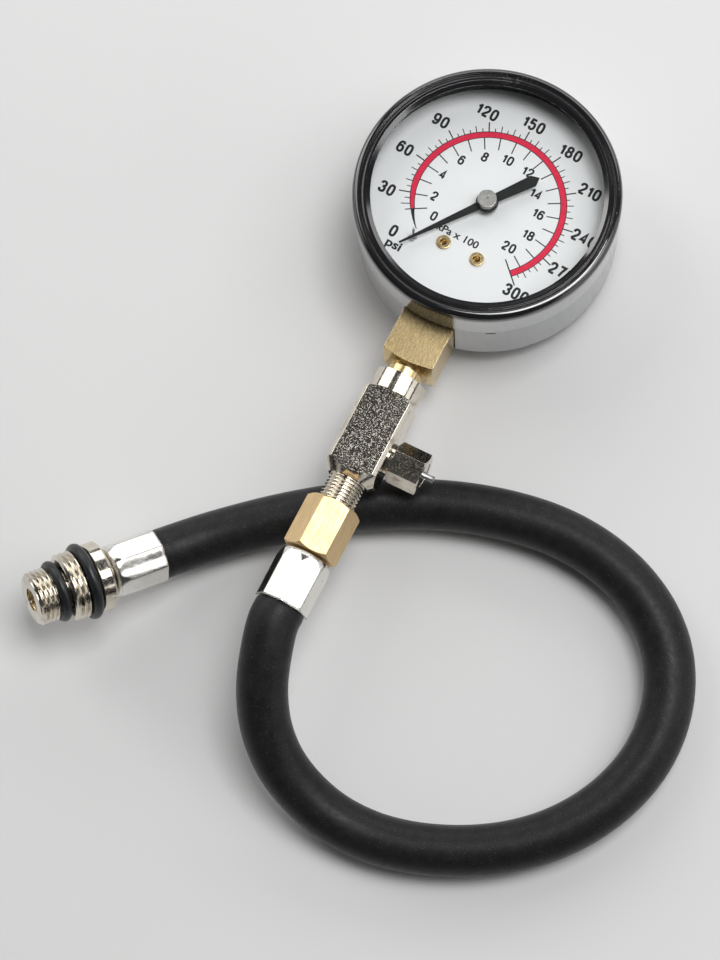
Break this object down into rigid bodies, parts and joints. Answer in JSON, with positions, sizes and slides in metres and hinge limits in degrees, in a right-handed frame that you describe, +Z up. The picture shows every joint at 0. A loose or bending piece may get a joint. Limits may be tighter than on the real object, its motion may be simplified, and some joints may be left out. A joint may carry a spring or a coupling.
{
  "type": "compression tester",
  "caption": "Engine compression tester: dial pressure gauge, tee with release valve, short rubber hose and stepped spark-plug adapter.",
  "frame": {"origin": "on the surface that the tester lies on, under the middle of its rigid part, the gauge and its stem", "axes": "+Y along the stem towards the gauge, +Z up through the dial's glass, +X towards the release valve"},
  "size_m": [0.1658, 0.1968, 0.0343],
  "materials": {
    "case_steel": "drawn, bright and smooth",
    "bezel_black": "black enamel, satin to glossy",
    "inner_black": "matt black",
    "lens_clear": "clear",
    "dial_white": "white enamel, satin, printed scale",
    "pointer_black": "black, satin",
    "cap_silver": "turned, satin",
    "brass": "machined, brushed",
    "bronze_tube": "drawn tube",
    "bronze_spring": "fine strip",
    "steel": "turned",
    "nickel": "bright nickel plate, handled",
    "ferrule_chrome": "bright plate",
    "rubber": "black, moulded",
    "hose_rubber": "dark grey, matt with a soft sheen"
  },
  "bodies": {
    "root": {"case": "case_steel", "bezel": "bezel_black", "lens": "lens_clear", "lens_gasket": "rubber", "spacer_ring": "inner_black", "case_screws": "steel", "dial_plate": "dial_white", "dial_rivets": "brass", "dial_posts": "brass", "stop_pin": "steel", "hairspring": "bronze_spring", "back_plate": "brass", "front_plate": "brass", "pillars": "brass", "pillar_screws": "steel", "ledge_screws": "steel", "bourdon_tube": "bronze_tube", "socket_block": "brass", "restrictor": "steel", "tee_body": "nickel", "release_body": "nickel", "release_bush": "nickel", "release_spring": "steel", "hose_insert": "brass", "ferrule_gauge_end": "ferrule_chrome", "hose": "hose_rubber", "ferrule_plug_end": "ferrule_chrome", "plug_fitting": "nickel", "o_ring_small": "rubber", "o_ring_large": "rubber", "check_housing": "brass", "check_spring": "steel"},
    "sector": {"sector_gear": "brass", "sector_arbor": "steel", "tail_pin": "steel"},
    "pointer_hand": {"pointer": "pointer_black", "pointer_cap": "cap_silver", "pointer_arbor": "steel"},
    "drive_link": {"link": "steel"},
    "tube_end": {"tube_tip": "brass"},
    "release_stem": {"release_plunger": "steel", "release_seal": "rubber"},
    "valve_pin": {"check_pin": "steel", "check_seal": "rubber"}
  },
  "joints": [
    {"name": "sector_turn", "type": "hinge", "parent": "root", "child": "sector", "pos_m": [0.007, 0.02768, 0.01543], "axis": [0, 0.1219, 0.9925], "range_deg": [0, 31], "stiffness_Nm_per_rad": 0.012},
    {"name": "pointer_turn", "type": "hinge", "parent": "root", "child": "pointer_hand", "pos_m": [0, 0.03971, 0.01395], "axis": [0, 0.1219, 0.9925], "range_deg": [-279, 0], "deforming": ["hairspring"]},
    {"name": "link_turn", "type": "hinge", "parent": "sector", "child": "drive_link", "pos_m": [0.01179, 0.0235, 0.01745], "axis": [0, 0.1219, 0.9925], "range_deg": [-31, 0]},
    {"name": "tip_slide", "type": "slide", "parent": "root", "child": "tube_end", "axis": [0.454, 0.8844, -0.1086], "range_m": [0, 0.0035], "deforming": ["bourdon_tube"]},
    {"name": "release_press", "type": "slide", "parent": "root", "child": "release_stem", "axis": [-1, 0, 0], "range_m": [0, 0.0015], "stiffness_N_per_m": 300, "deforming": ["release_spring"]},
    {"name": "valve_press", "type": "slide", "parent": "root", "child": "valve_pin", "axis": [0.5877, 0.7129, -0.3827], "range_m": [0, 0.0012], "stiffness_N_per_m": 200, "deforming": ["check_spring"]}
  ],
  "couplings": [
    {"joint": "pointer_turn", "follows": "sector_turn", "ratio": -9},
    {"joint": "link_turn", "follows": "sector_turn", "ratio": -1},
    {"joint": "tip_slide", "follows": "sector_turn", "m_per_rad": 0.006421}
  ]
}
